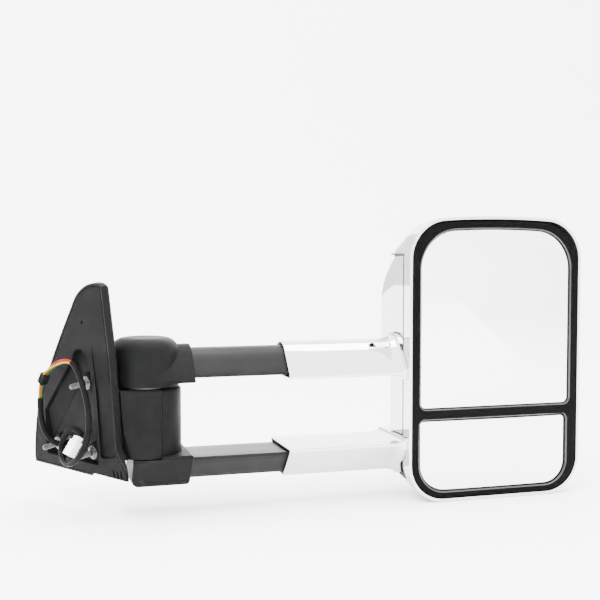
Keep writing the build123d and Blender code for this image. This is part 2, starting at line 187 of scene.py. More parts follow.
def plated(name, color, smooth, rough):
    """Bright chrome on moulded plastic: faint waviness, and a light haze that varies."""
    s = Surface(name, color, smooth, 1.0)
    haze = s.noise(38, 4)
    s.feed(s.ramp(haze, smooth, rough, 0.35, 0.75), "Roughness")
    s.feed(s.bump(s.noise(21, 2), 0.00012, 0.35), "Normal")
    return s.material


def moulded(name, color, rough, grain, depth, sheen=0.35):
    """Black moulded plastic with a spark-eroded grain and slightly uneven gloss."""
    s = Surface(name, color, rough)
    light = tuple(1.45 * c for c in color)
    s.feed(s.tint(s.noise(55, 5), color, light, 0.35, 0.7), "Base Color")
    s.feed(s.ramp(s.noise(24, 3), rough - 0.06, rough + 0.07), "Roughness")
    coarse = s.bump(s.cells(grain, 0.6), depth, 0.8)
    s.feed(s.bump(s.noise(grain * 2.3, 2), depth * 0.6, 0.6, coarse), "Normal")
    s.set("Specular IOR Level", sheen)
    return s.material


def coated(name, color, rough):
    """Satin coating on drawn tube: faint lines along the arm and a soft coat."""
    s = Surface(name, color, rough)
    lines = s.noise(260, 3, (0.03, 1, 1))
    s.feed(s.ramp(lines, rough - 0.05, rough + 0.08), "Roughness")
    light = tuple(1.35 * c for c in color)
    s.feed(s.tint(s.noise(42, 4), color, light), "Base Color")
    s.feed(s.bump(lines, 0.00003, 0.5), "Normal")
    s.set("Specular IOR Level", 0.09)
    return s.material


def glossy(name, color, rough, level=0.12):
    """Polished black plastic with faint swirls."""
    s = Surface(name, color, rough)
    s.feed(s.ramp(s.noise(70, 5, distortion=1.2), rough, rough + 0.06, 0.45, 0.8), "Roughness")
    s.feed(s.bump(s.noise(16, 2), 0.0001, 0.2), "Normal")
    s.set("Specular IOR Level", level)
    return s.material


def silvered(name, color, rough):
    """Silvered glass, with a trace of dust."""
    s = Surface(name, color, rough, 1.0)
    dust = s.noise(420, 2)
    s.feed(s.ramp(dust, rough, rough + 0.05, 0.62, 0.8), "Roughness")
    s.feed(s.tint(s.noise(6, 2), color, tuple(0.97 * c for c in color)), "Base Color")
    return s.material


def bare_metal(name, color, rough, scale=180):
    """Plated or ground steel with small patches of colour and gloss."""
    s = Surface(name, color, rough, 1.0)
    patches = s.noise(scale, 4)
    warm = (color[0] * 1.04, color[1] * 0.98, color[2] * 0.86)
    s.feed(s.tint(patches, warm, color, 0.35, 0.6), "Base Color")
    s.feed(s.ramp(patches, rough - 0.08, rough + 0.12), "Roughness")
    s.feed(s.bump(s.noise(scale * 5, 2), 0.00003, 0.5), "Normal")
    return s.material


def plain_plastic(name, color, rough, grain=900, level=0.5):
    s = Surface(name, color, rough)
    s.feed(s.tint(s.noise(70, 4), color, tuple(0.86 * c for c in color)), "Base Color")
    s.feed(s.ramp(s.noise(40, 3), rough - 0.07, rough + 0.07), "Roughness")
    s.feed(s.bump(s.noise(grain, 2), 0.00004, 0.5), "Normal")
    s.set("Specular IOR Level", level)
    return s.material


def sleeving(name, color, rough):
    """Soft vinyl sleeve with a slight pebble."""
    s = Surface(name, color, rough)
    s.feed(s.tint(s.noise(160, 4), color, tuple(1.8 * c for c in color)), "Base Color")
    s.feed(s.ramp(s.noise(90, 3), rough - 0.1, rough + 0.1), "Roughness")
    s.feed(s.bump(s.noise(1400, 2), 0.00006, 0.6), "Normal")
    s.set("Specular IOR Level", 0.03)
    return s.material


MATERIALS = {
    "chrome": plated("chrome", (0.60, 0.61, 0.62), 0.02, 0.06),
    "grained_black": moulded("grained_black", (0.0026, 0.0027, 0.0028), 0.50, 1500, 0.00010, 0.045),
    "coated_black": coated("coated_black", (0.0036, 0.0037, 0.0039), 0.36),
    "frame_black": moulded("frame_black", (0.0020, 0.0020, 0.0021), 0.55, 1100, 0.00006, 0.03),
    "gloss_black": glossy("gloss_black", (0.0012, 0.0012, 0.0013), 0.06, 0.03),
    # a lighter, glossier copy of the bezel's black for the lips round the glasses: painted highlight
    "window_lip": glossy("window_lip", (0.020, 0.020, 0.021), 0.16, 0.4),
    "mirror_flat": silvered("mirror_flat", (0.90, 0.905, 0.91), 0.008),
    "mirror_convex": silvered("mirror_convex", (0.86, 0.87, 0.88), 0.010),
    "zinc": bare_metal("zinc", (0.055, 0.056, 0.058), 0.24),
    "steel": bare_metal("steel", (0.48, 0.48, 0.49), 0.36, 120),
    "bush_nylon": plain_plastic("bush_nylon", (0.72, 0.70, 0.62), 0.45),
    "inner_plastic": plain_plastic("inner_plastic", (0.012, 0.012, 0.013), 0.6),
    "cord_black": sleeving("cord_black", (0.0022, 0.0022, 0.0023), 0.5),
    "tape_black": sleeving("tape_black", (0.004, 0.004, 0.0045), 0.6),
    "connector_white": plain_plastic("connector_white", (0.82, 0.82, 0.79), 0.42),
    "rubber": sleeving("rubber", (0.02, 0.02, 0.021), 0.7),
    "heater_foil": plain_plastic("heater_foil", (0.55, 0.30, 0.09), 0.35),
}
WIRE_COLORS = {
    "wire_red": (0.16, 0.004, 0.003),
    "wire_orange": (0.22, 0.022, 0.002),
    "wire_yellow": (0.26, 0.17, 0.004),
    "wire_green": (0.003, 0.045, 0.008),
}
for wire_name, wire_color in WIRE_COLORS.items():
    MATERIALS[wire_name] = plain_plastic(wire_name, wire_color, 0.45, 900, 0.08)

slot_of = {p["node"]: p["material_slot"] for p in frame["record"]["subparts"]}
for node_name, node_object in frame["nodes"].items():
    node_object.data.materials.clear()
    node_object.data.materials.append(MATERIALS[slot_of[node_name]])


# ---- outlines, in mm


def points_of(*pairs):
    return [Vector(pair) for pair in pairs]


def rectangle(x0, x1, y0, y1):
    return points_of((x0, y0), (x1, y0), (x1, y1), (x0, y1))


def edges_of(outline):
    return list(zip(outline, outline[1:] + outline[:1]))


def area_of(outline):
    return sum(a.x * b.y - b.x * a.y for a, b in edges_of(outline)) / 2


def rotated(v, turn):
    c, s = math.cos(turn), math.sin(turn)
    return Vector((v.x * c - v.y * s, v.x * s + v.y * c))


def drawn_in(outline, amount):
    """The outline with every edge moved in by the amount, or out if it is negative."""
    flip = 1 if area_of(outline) > 0 else -1
    sides = []
    for a, b in edges_of(outline):
        run = (b - a).normalized()
        inward = Vector((-run.y, run.x)) * flip
        sides.append((a + inward * amount, run))
    result = []
    for (p, u), (q, v) in zip(sides[-1:] + sides[:-1], sides):
        cross = u.x * v.y - u.y * v.x
        if abs(cross) < 1e-6:
            result.append(q.copy())
        else:
            share = ((q.x - p.x) * v.y - (q.y - p.y) * v.x) / cross
            result.append(p + u * share)
    return result


def rounded(corners, radii, steps=6, between=0):
    """An outline whose corners are arcs of those radii, with points between them on the long edges."""
    result = []
    count = len(corners)
    for k, corner in enumerate(corners):
        back = (corners[k - 1] - corner)
        ahead = (corners[(k + 1) % count] - corner)
        half = back.angle(ahead) / 2
        room = 0.49 * min(back.length, ahead.length)
        away = min(radii[k] / math.tan(half), room)
        radius = away * math.tan(half)
        back.normalize()
        ahead.normalize()
        centre = corner + (back + ahead).normalized() * radius / math.sin(half)
        first = corner + back * away - centre
        last = corner + ahead * away - centre
        swing = first.angle_signed(last)
        result += [centre + rotated(first, -swing * i / steps) for i in range(steps + 1)]
    if between:
        result = [
            a.lerp(b, i / (between + 1)) for k, (a, b) in enumerate(edges_of(result))
            for i in range(between + 1 if k % (steps + 1) == steps else 1)
        ]
    return result


def arc_through(a, b, c, steps=10):
    """Points from a to c on the circle through a, b and c."""
    a, b, c = points_of(a, b, c)
    aa, bb, cc = a.length_squared, b.length_squared, c.length_squared
    d = 2 * (a.x * (b.y - c.y) + b.x * (c.y - a.y) + c.x * (a.y - b.y))
    centre = Vector((
        (aa * (b.y - c.y) + bb * (c.y - a.y) + cc * (a.y - b.y)) / d,
        (aa * (c.x - b.x) + bb * (a.x - c.x) + cc * (b.x - a.x)) / d,
    ))
    first = a - centre
    swing = -first.angle_signed(c - centre)
    middle = -first.angle_signed(b - centre)
    if middle * swing < 0:
        swing -= math.copysign(2 * math.pi, swing)
    return [centre + rotated(first, swing * i / steps) for i in range(steps + 1)]


def smooth_steps(rows, steps):
    """Rows of numbers with more rows between them, on a smooth curve through them all."""
    result = []
    for k in range(len(rows) - 1):
        p0, p1, p2, p3 = rows[max(k - 1, 0)], rows[k], rows[k + 1], rows[min(k + 2, len(rows) - 1)]
        for i in range(steps):
            t = i / steps
            result.append([
                0.5 * (2 * b + (c - a) * t + (2 * a - 5 * b + 4 * c - d) * t**2
                       + (3 * b - a - 3 * c + d) * t**3)
                for a, b, c, d in zip(p0, p1, p2, p3)
            ])
    result.append(list(rows[-1]))
    return result


def eased(level, inset, radius, way, steps=4):
    """Levels and insets that round an edge at that level, going into the solid the given way."""
    result = []
    for i in range(steps + 1):
        turn = math.pi / 2 * i / steps
        result.append((level + way * radius * (1 - math.sin(turn)), inset + radius * (1 - math.cos(turn))))
    return result


# ---- mesh helpers


def add_object(name, data):
    piece = bpy.data.objects.new(name, data)
    bpy.context.collection.objects.link(piece)
    return piece


def shade(mesh, smooth_angle):
    mesh.shade_smooth()
    mesh.set_sharp_from_angle(angle=math.radians(smooth_angle))


def mesh_piece(name, points, faces, material, smooth_angle=30):
    """A mesh object from points and faces, shaded smooth except across sharp edges."""
    mesh = bpy.data.meshes.new(name)
    mesh.from_pydata([tuple(p) for p in points], [], faces)
    work = bmesh.new()
    work.from_mesh(mesh)
    bmesh.ops.remove_doubles(work, verts=work.verts, dist=1e-6)
    bmesh.ops.recalc_face_normals(work, faces=work.faces)
    work.to_mesh(mesh)
    work.free()
    mesh.materials.append(MATERIALS[material])
    shade(mesh, smooth_angle)
    return add_object(name, mesh)


def skin(rings, loop=False):
    """Points and faces that join rings of the same number of points, with both ends closed or joined."""
    points = [p for ring in rings for p in ring]
    n = len(rings[0])
    faces = []
    for r in range(len(rings) if loop else len(rings) - 1):
        low, high = r * n, (r + 1) % len(rings) * n
        for i in range(n):
            j = (i + 1) % n
            faces.append((low + i, low + j, high + j, high + i))
    if not loop:
        faces.append(tuple(range(n))[::-1])
        faces.append(tuple(range((len(rings) - 1) * n, len(rings) * n)))
    return points, faces


def solid(name, rings, material, place=None, angle=30, loop=False):
    """A closed piece through rings of points in mm, set down by the placing function."""
    points, faces = skin(rings, loop)
    place = place or at
    return mesh_piece(name, [place(*p) for p in points], faces, material, angle)


def combine(piece, tool, operation, angle=30):
    """Joins, cuts or intersects a piece with a tool piece, which is then thrown away."""
    step = piece.modifiers.new("step", "BOOLEAN")
    step.operation = operation
    step.solver = "EXACT"
    step.material_mode = "TRANSFER"
    step.object = tool
    graph = bpy.context.evaluated_depsgraph_get()
    mesh = bpy.data.meshes.new_from_object(piece.evaluated_get(graph))
    piece.modifiers.clear()
    piece.data = mesh
    bpy.data.objects.remove(tool)
    shade(mesh, angle)


def cut(piece, tool, angle=30):
    combine(piece, tool, "DIFFERENCE", angle)


def turned_tool(radius, stations, sides=48):
    """A tool piece turned about the hinge's axis."""
    return round_bar("tool", (0, 0), radius, stations, "grained_black", sides=sides)


BODY_OF = {n: body for body, names in frame["record"]["behaviour"]["bodies"].items() for n in names}


def stand_in(piece, node, *more):
    """The piece rides with the body of the CAD node that it stands for, and that node and any more named are
    hidden.
    """
    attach(piece, BODY_OF[node])
    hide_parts(node, *more)
    return piece


def extra(piece, body):
    """A detail piece that stands for no CAD node."""
    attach(piece, body)
    return piece


def upright_rings(outline, stations):
    """Rings of a plan outline at levels above it, each drawn in by its inset."""
    return [[(p.x, p.y, level) for p in drawn_in(outline, inset)] for level, inset in stations]


def upright_tool(outline, low, high, material="grained_black", place=None):
    """A straight tool piece with that plan, between two levels."""
    return solid("tool", upright_rings(outline, [(low, 0), (high, 0)]), material, place)


def facing_tool(outline, y0, y1, material="grained_black"):
    """A straight tool piece with that outline in X and Z, between two places in Y."""
    rings = [[(p.x, y, p.y) for p in drawn_in(outline, 0)] for y in (y0, y1)]
    return solid("tool", rings, material)


def circle_point(centre, radius, level, i, sides):
    turn = 2 * math.pi * i / sides
    return (centre[0] + radius * math.cos(turn), centre[1] + radius * math.sin(turn), level)


def circle(centre, radius, level, sides):
    return [circle_point(centre, radius, level, i, sides) for i in range(sides)]


def round_bar(name, centre, radius, stations, material, place=None, sides=48):
    """A turned solid about an upright axis, through stations of level and growth in radius."""
    rings = [circle(centre, radius + growth, level, sides) for level, growth in stations]
    return solid(name, rings, material, place)


# ---- arms, sleeves and collars

# corners of the two arm sections across and up, and the radius of each corner
UPPER_SECTION = points_of((-39.5, 17.5), (39.5, 17.5), (39.5, 20.5), (0, 70.1), (-39.5, 20.5))
UPPER_RADII = (1.2, 1.2, 1.6, 25.6, 1.6)
LOWER_KEEL = -91.0
COLLAR_KEEL = -94.0
LOWER_RADII = (1.2, 1.2, 1.6, 3.0, 3.0, 1.6)
SLEEVE_SPAN = (148.0, 291.5)
SLEEVE_WALL = 2.0
REAR_LIMIT = -40.6
ARM_SPAN = (34.0, 196.0)
ARM_INSET = 4.0
ARM_WALL = 2.8
# the sockets in the two collars that take the arms: their span along X, and their inset
SOCKET_STATIONS = [(34, 3.6), (50, 3.6)]

# the same sections without the lips, which die out inside them
UPPER_CORE = points_of((-41.9, 17.5), (41.9, 17.5), (0, 70.1))
UPPER_CORE_RADII = (6.0, 6.0, 25.6)
LOWER_CORE = points_of((-42.2, -57.5), (42.2, -57.5), (12, LOWER_KEEL), (-12, LOWER_KEEL))
LOWER_CORE_RADII = (6.0, 6.0, 6.0, 6.0)


def lower_section(keel=LOWER_KEEL):
    return points_of((-39.5, -57.5), (39.5, -57.5), (39.5, -60.5), (12, keel), (-12, keel), (-39.5, -60.5))


def section_rings(corners, radii, stations, soft=0.0):
    """Rings of an arm section at stations along X, each of (x, inset)."""
    rings = []
    for x, inset in stations:
        turned = [max(r - inset, 0.4) + soft for r in radii]
        outline = rounded(drawn_in(corners, inset), turned, 8, 3)
        rings.append([(x, max(p.x, REAR_LIMIT), p.y) for p in outline])
    return rings


def flare(x0, x1, growth, steps=8):
    """Stations that swell a section outward along a quarter circle."""
    turns = [math.pi / 2 * k / steps for k in range(steps + 1)]
    return [(x0 + (x1 - x0) * math.sin(t), -growth * (1 - math.cos(t))) for t in turns]


FLARE_SPAN = (266.0, 279.0)
FLARE_GROWTH = 5.0


def make_sleeve(name, corners, radii):
    """A chrome tube with a rolled mouth, which swells where it meets the head."""
    start, end = SLEEVE_SPAN
    mouth = eased(start, 0, 1.0, 1)[::-1]
    swell = flare(*FLARE_SPAN, FLARE_GROWTH)
    outer = mouth + [(start + 30 * k, 0) for k in range(1, 4)] + swell + [(end, -FLARE_GROWTH)]
    inner = [(end - 4, SLEEVE_WALL), (start + 20, SLEEVE_WALL), (start + 0.9, SLEEVE_WALL - 0.1)]
    rings = section_rings(corners, radii, outer + inner)
    piece = solid(name, rings, "chrome", loop=True)
    piece.data.materials.append(MATERIALS["inner_plastic"])
    per_ring = len(rings[0])
    for number, face in enumerate(piece.data.polygons):
        if number // per_ring >= len(outer):
            face.material_index = 1
    return stand_in(piece, name)


def make_arm(name, corners, radii):
    """A coated tube, with its outboard edge rounded over."""
    start, end = ARM_SPAN
    outer = [(start + 30 * k, ARM_INSET) for k in range(6)] + sorted(eased(end, ARM_INSET, 0.8, -1))
    inner = [(end - 0.1, ARM_INSET + ARM_WALL), (start, ARM_INSET + ARM_WALL)]
    rings = section_rings(corners, radii, outer + inner)
    return stand_in(solid(name, rings, "coated_black", loop=True), name)


# ---- post and knuckles

POST_RADIUS = 38.0
POST_SPAN = (-60.0, 11.0)
# the lower knuckle's top, under the post
BED_LEVEL = -60.6
# where the line of the post's front wall runs to, past the plate, in the post's own plan
FRONT_FOOT = (62.0, -26.0)
POST_BORE = 11.0
# where the two halves of the post's moulding meet, as angles from the way to the door
PARTING_TURNS = (math.radians(80), math.radians(270))
# the fine groove at each of them: angles from its middle, and depths
GROOVE = ((-0.022, 0), (-0.011, 0.6), (0.011, 0.6), (0.022, 0))
DOOR_YAW = math.radians(30)
SAIL_DEPTH = 11.0
# how far in front of the plate's rear edge the post's rear wall stands
REAR_FOOT_STEP = 1.5


def tangent_turn(radius, foot, side):
    """The angle on a circle where the line from a point outside it touches, on that side of the point."""
    x, y = foot
    return math.atan2(y, x) + side * math.acos(radius / math.hypot(x, y))


def rear_foot(z):
    """Where the post's rear wall meets the plate's outer face at that level, near its rear edge."""
    rise = (z - outward.z * SAIL_DEPTH) / upward.z - PLATE_CORNER[1]
    pairs = sorted((p.y, p.x) for p in sail_outline() if p.x < 20)
    low = max((q for q in pairs if q[0] <= rise), default=pairs[0])
    high = min((q for q in pairs if q[0] > rise), default=pairs[-1])
    share = (rise - low[0]) / max(high[0] - low[0], 1e-6)
    edge = low[1] + (high[1] - low[1]) * share
    spot = (door(edge + REAR_FOOT_STEP, rise, SAIL_DEPTH) - hinge) / MM
    foot = rotated(spot, -math.pi - DOOR_YAW)
    return foot * max(1, 1.002 * POST_RADIUS / foot.length)


def post_outline(z, inset):
    """A round nose whose side walls draw in towards the door, with fine parting grooves."""
    rear = rear_foot(z)
    start = tangent_turn(POST_RADIUS, rear, 1)
    end = tangent_turn(POST_RADIUS, FRONT_FOOT, -1) + 2 * math.pi
    stops = (start, *PARTING_TURNS, end)
    nose = []
    for a, b, count in zip(stops, stops[1:], (10, 48, 3)):
        nose += [(a + (b - a) * (k + 0.5) / count, 0) for k in range(count)]
    for place in PARTING_TURNS:
        nose += [(place + shift, depth) for shift, depth in GROOVE]
    points = [Vector(FRONT_FOOT), Vector((FRONT_FOOT[0], rear.y)), rear]
    for turn, depth in sorted(nose):
        points.append(Vector((math.cos(turn), math.sin(turn))) * (POST_RADIUS - depth - inset))
    return [rotated(p, math.pi + DOOR_YAW) for p in points]


def door_cutter(level):
    """A block of everything inboard of a plane this far out from the door face."""
    return upright_tool(rectangle(-150, 250, -150, 300), level - 120, level, place=door)


def make_post():
    low, high = POST_SPAN
    stations = sorted(eased(low, 0, 1.0, 1)) + [(low + 24, 0), (high - 24, 0)]
    stations += sorted(eased(high, 0, 3.0, -1))
    rings = [[(p.x, p.y, z) for p in post_outline(z, inset)] for z, inset in stations]
    post = solid("post_shell", rings, "grained_black", angle=28)
    cut(post, door_cutter(SAIL_DEPTH + 0.1), 28)
    cut(post, turned_tool(POST_BORE, [(low - 2, 0), (high + 2, 0)]), 28)
    return stand_in(post, "post_shell")


def make_upper_knuckle():
    """The domed cap over the post, with the collar that holds the upper arm growing out of it."""
    low, high, radius, dome = 13.0, 63.0, 37.0, 17.0
    turns = [math.pi / 2 * k / 12 for k in range(13)]
    stations = [(low, -1.2), (low + 0.4, -0.4), (low + 1.2, 0), (low + 16, 0)]
    stations += [(high - dome * (1 - math.sin(t)), -dome * (1 - math.cos(t))) for t in turns]
    stations += [(high, -dome - 8), (high, -dome - 14)]
    cap = round_bar("upper_knuckle", (0, 0), radius, stations, "grained_black", sides=72)
    collar_stations = [(-10, 0.6), (10, 0), (30, 0)] + sorted(eased(47.5, 0, 1.2, -1))
    rings = section_rings(UPPER_SECTION, UPPER_RADII, collar_stations)
    collar = solid("tool", rings, "grained_black")
    plan = points_of((-12, -34.4), (16, -39.6), (60, -39.6), (60, 39.6), (16, 39.6), (-12, 34.4))
    combine(collar, upright_tool(rounded(plan, [1, 30, 1, 1, 30, 1], 8), 0, 90), "INTERSECT")
    combine(cap, collar, "UNION")
    cut(cap, turned_tool(30.5, [(low - 2, 0), (19.5, 0)]))
    socket_rings = section_rings(UPPER_CORE, UPPER_CORE_RADII, SOCKET_STATIONS)
    cut(cap, solid("tool", socket_rings, "grained_black"))
    return stand_in(cap, "upper_knuckle")


def make_lower_knuckle():
    """The rounded block under the post, whose far end is the lower arm's collar."""
    back, end = -17.0, 45.0
    stations = sorted(eased(back, 0, 1.8, 1)) + [(back + 8, 0), (20, 0)]
    stations += sorted(eased(end, 0, 1.4, -1))
    rings = section_rings(lower_section(COLLAR_KEEL), LOWER_RADII, stations, 1.6)
    block = solid("lower_knuckle", rings, "grained_black", angle=32)
    half_plan = [(-30, 29.5), (-12, 37.1), (4, 39.2), (60, 39.6)]
    plan = points_of(*[(x, -y) for x, y in half_plan], *reversed(half_plan))
    plan = rounded(plan, [1, 14, 24, 1, 1, 24, 14, 1], 6)
    combine(block, upright_tool(plan, -120, -40), "INTERSECT", 32)
    low, high = (pick(p[2] for ring in rings for p in ring) for pick in (min, max))
    face = rounded(rectangle(back, end, low, high), [10, 5, 3, 5], 8)
    combine(block, facing_tool(face, -60, 60), "INTERSECT", 32)
    cut(block, turned_tool(POST_RADIUS + 0.6, [(BED_LEVEL, 0), (-50, 0)], 96), 32)
    cut(block, upright_tool(rectangle(-60, 12, -60, 60), BED_LEVEL, -50), 32)
    socket_rings = section_rings(LOWER_CORE, LOWER_CORE_RADII, SOCKET_STATIONS)
    cut(block, solid("tool", socket_rings, "grained_black"), 32)
    return stand_in(block, "lower_knuckle")


# ---- mirror head

# y, inboard x, outboard x, bottom z, top z, crown and corner radius of the head, from its rim to its nose
HEAD_SECTIONS = [
    (-45.0, 282.0, 492.5, -124.5, 186.5, 5.2, 42),
    (-30.0, 281.6, 492.4, -123.8, 186.3, 5.1, 43),
    (-15.0, 281.0, 492.0, -122.0, 185.5, 5.0, 44),
    (0.0, 280.2, 490.7, -118.6, 181.8, 4.8, 46),
    (15.0, 279.0, 488.0, -113.0, 175.0, 4.5, 48),
    (28.0, 278.0, 483.5, -105.5, 165.5, 4.2, 49),
    (40.0, 277.4, 476.5, -95.5, 152.5, 4.0, 50),
    (49.0, 280.0, 466.0, -84.0, 138.5, 3.4, 52),
    (54.5, 286.5, 453.0, -71.0, 122.0, 3.0, 52),
    (57.2, 300.0, 434.0, -54.0, 101.0, 2.0, 48),
    (57.8, 330.0, 405.0, -22.0, 70.0, 1.0, 34),
]
RIM_Y = -45.0
SHELL_WALL = 3.0
COVER_STEP = 4.0
COVER_OUTER_X = 455.0
COVER_TOP = 150.0
COVER_LOW = -100.0
COVER_REAR_Y = -28.0
COVER_CORNER = 7.0
COVER_GAP = 1.3
# room between a sleeve and the edge of its hole in the head
HOLE_GAP = 0.8
# how far the dark strip that paints the shade in the cover's gap stands out of the head, and laps over the shell's
# edge
GAP_SHADE_RISE = 0.25
GAP_SHADE_LAP = 0.6


def head_outline(x0, x1, z0, z1, crown, radii, between=9):
    """A rounded rectangle in X and Z with a crowned top edge."""
    outline = rounded(rectangle(x0, x1, z0, z1), radii, 14, between)
    middle, half = (x0 + x1) / 2, (x1 - x0) / 2
    for p in outline:
        if p.y > (z0 + z1) / 2:
            p.y += crown * (1 - ((p.x - middle) / half) ** 2)
    return outline


def head_rings(inset):
    """The head's rings from rim to nose, drawn in by the inset, at the nose in Y as well."""
    rings = []
    for y, x0, x1, z0, z1, crown, radius in smooth_steps(HEAD_SECTIONS, 5):
        share = max(0.0, (y - 20) / 38)
        radii = [radius - inset] * 4
        outline = head_outline(x0 + inset, x1 - inset, z0 + inset, z1 - inset, crown, radii)
        rings.append([(p.x, y - inset * share, p.y) for p in outline])
    return rings


def cover_block(grow):
    """A block over the front cover's place, grown on every side that shows; its dark material paints shade on the
    walls that it cuts round the cover.
    """
    face = rectangle(240, COVER_OUTER_X + grow, COVER_LOW - grow, COVER_TOP + grow)
    outline = rounded(face, [COVER_CORNER + grow] * 4, 8)
    return facing_tool(outline, COVER_REAR_Y - grow, 120.0, "inner_plastic")


def cut_sleeve_holes(piece):
    """Holes for the two sleeves' flared ends, with a small gap all round."""
    swell = [(x, inset - HOLE_GAP) for x, inset in flare(*FLARE_SPAN, FLARE_GROWTH)]
    stations = [(250.0, -HOLE_GAP)] + swell + [(300.0, -FLARE_GROWTH - HOLE_GAP)]
    for corners, radii in ((UPPER_SECTION, UPPER_RADII), (lower_section(), LOWER_RADII)):
        tool = solid("tool", section_rings(corners, radii, stations), "inner_plastic")
        cut(piece, tool, 35)


def make_head_shell():
    """The chrome rim and top, cut away over the front cover's place."""
    shell = solid("head_shell", head_rings(0), "chrome", angle=35)
    hollow = head_rings(SHELL_WALL)
    front = [(x, RIM_Y - 5, z) for x, _, z in hollow[0]]
    cut(shell, solid("tool", [front] + hollow, "inner_plastic"), 35)
    cut(shell, cover_block(0), 35)
    cut_sleeve_holes(shell)
    return stand_in(shell, "head_shell")


# plan of the hollow between the sleeves, and of the fins that carry the sleeves' edges on to the cover
RECESS_PLAN = ((250, 14), (296, 14), (444, 57), (475, 110), (250, 110))
RECESS_RADII = (1, 90, 60, 1, 1)
FIN_PLAN = ((262, 39.4), (284, 39.4), (303, 50.5), (340, 57.3), (395, 57.3), (428, 51.5), (442, 45.5),
            (430, 30), (262, 20))
FIN_RADII = (1, 12, 22, 60, 60, 30, 4, 4, 1)
FIN_LEVELS = ((17.5, 20.5), (-60.5, -57.5))


def make_front_cover():
    """The chrome panel over the front, with a hollow between the sleeves and a fin in line with each."""
    cover = solid("front_cover", head_rings(COVER_STEP), "chrome", angle=35)
    hollow = solid("tool", head_rings(COVER_STEP + SHELL_WALL), "inner_plastic")
    for plan_shift, target, low, high in ((0, cover, -57.5, 17.5), (-SHELL_WALL, hollow, -60.5, 20.5)):
        plan = points_of(*RECESS_PLAN)
        plan[:3] = [p + Vector((0, plan_shift)) for p in plan[:3]]
        outline = rounded(plan, RECESS_RADII, 14)
        cut(target, upright_tool(outline, low, high, "chrome"), 35)
    cut(cover, hollow, 35)
    fin = rounded(points_of(*FIN_PLAN), FIN_RADII, 8)
    for low, high in FIN_LEVELS:
        stations = sorted(eased(low, 0, 0.8, 1, 3)) + sorted(eased(high, 0, 0.8, -1, 3))
        combine(cover, solid("tool", upright_rings(fin, stations), "chrome"), "UNION", 35)
    combine(cover, cover_block(-COVER_GAP), "INTERSECT", 35)
    cut_sleeve_holes(cover)
    return stand_in(cover, "front_cover")


def make_cover_gap_shade():
    """The dark strip that fills the gap round the front cover, as painted shade for the gap."""
    shade_strip = solid("cover_gap_shade", head_rings(-GAP_SHADE_RISE), "inner_plastic", angle=35)
    combine(shade_strip, cover_block(GAP_SHADE_LAP), "INTERSECT", 35)
    cut(shade_strip, cover_block(-COVER_GAP), 35)
    cut(shade_strip, solid("tool", head_rings(SHELL_WALL), "inner_plastic"), 35)
    cut_sleeve_holes(shade_strip)
    return extra(shade_strip, "head")


# x0, x1, z0, z1, crown and corner radii (low inboard, low outboard, high outboard, high inboard)
BEZEL_FORM = (285.0, 490.0, -121.5, 182.5, 4.7, (35, 35, 46, 39))
UPPER_WINDOW = (296.0, 479.7, -21.4, 173.4, 4.6, (7, 7, 40, 40))
LOWER_WINDOW = (295.0, 476.6, -113.6, -33.3, 0.0, (31, 27, 6, 6))
BEZEL_FRONT = -44.0
GLASS_FRONT = -41.5
# the least gap between a glass and its window
GLASS_GAP = 1.0
# the convex glass: how far it curves back at this distance from its middle, and places in Y
GLASS_BULGE = 2.6
GLASS_REACH = 98.0
CONVEX_FRONT = -42.9
CONVEX_RIM = -42.4
CONVEX_BACK = -39.0


def form_outline(form, inset):
    x0, x1, z0, z1, crown, radii = form
    turned = [max(r - inset, 1.0) for r in radii]
    return head_outline(x0 + inset, x1 - inset, z0 + inset, z1 - inset, crown, turned, 5)


def form_rings(form, stations):
    return [[(p.x, y, p.y) for p in form_outline(form, inset)] for y, inset in stations]


def make_bezel():
    """The gloss black surround, with a chamfered lip round each glass in a lighter black, a painted highlight."""
    y = BEZEL_FRONT
    edge = sorted(eased(y, 0, 1.6, 1))
    bezel = solid("bezel", form_rings(BEZEL_FORM, edge + [(y + 4, 0.0)]), "gloss_black", angle=25)
    lip = [(y - 1.2, -2.4), (y + 0.9, -0.3), (y + 1.2, 0), (y + 20, 0)]
    for form in (UPPER_WINDOW, LOWER_WINDOW):
        cut(bezel, solid("tool", form_rings(form, lip), "window_lip"), 25)
    return stand_in(bezel, "bezel")


def make_upper_glass():
    """The flat glass, with a ground edge."""
    edge = ((0, 1.0), (0.25, 0.3), (0.8, 0), (2.3, 0), (2.5, 0.3))
    stations = [(GLASS_FRONT + back, GLASS_GAP + inset) for back, inset in edge]
    return stand_in(solid("upper_glass", form_rings(UPPER_WINDOW, stations), "mirror_flat"), "upper_glass")


def make_lower_glass():
    """The convex glass: a shallow part of a sphere, thickest at its middle."""
    x0, x1, z0, z1 = LOWER_WINDOW[:4]
    centre = Vector(((x0 + x1) / 2, (z0 + z1) / 2))

    def curved(outline, front):
        return [(p.x, front + GLASS_BULGE * ((p - centre).length / GLASS_REACH) ** 2, p.y) for p in outline]

    face = form_outline(LOWER_WINDOW, GLASS_GAP + 1.0)
    rings = [curved([centre.lerp(p, k / 14) for p in face], CONVEX_FRONT) for k in range(1, 15)]
    rim = curved(form_outline(LOWER_WINDOW, GLASS_GAP + 0.7), CONVEX_RIM)
    back = [(x, CONVEX_BACK, z) for x, _, z in rim]
    return stand_in(solid("lower_glass", rings + [rim, back], "mirror_convex", angle=25), "lower_glass")


# ---- sail plate and its inner frame

SAIL_EDGE_DEPTH = 8.0
SAIL_EDGE_WIDTH = 3.0
SAIL_WALL = 2.5
STUDS = ((55.0, 101.5), (123.0, 27.5), (59.0, 26.0))
# the hollow that lets the lower knuckle turn past the plate: a radius, and how far it widens to its foot
RELIEF_RADIUS = 43.4
RELIEF_SPREAD = 17.9
RELIEF_LEVELS = (-95, -60.6, -59.8)


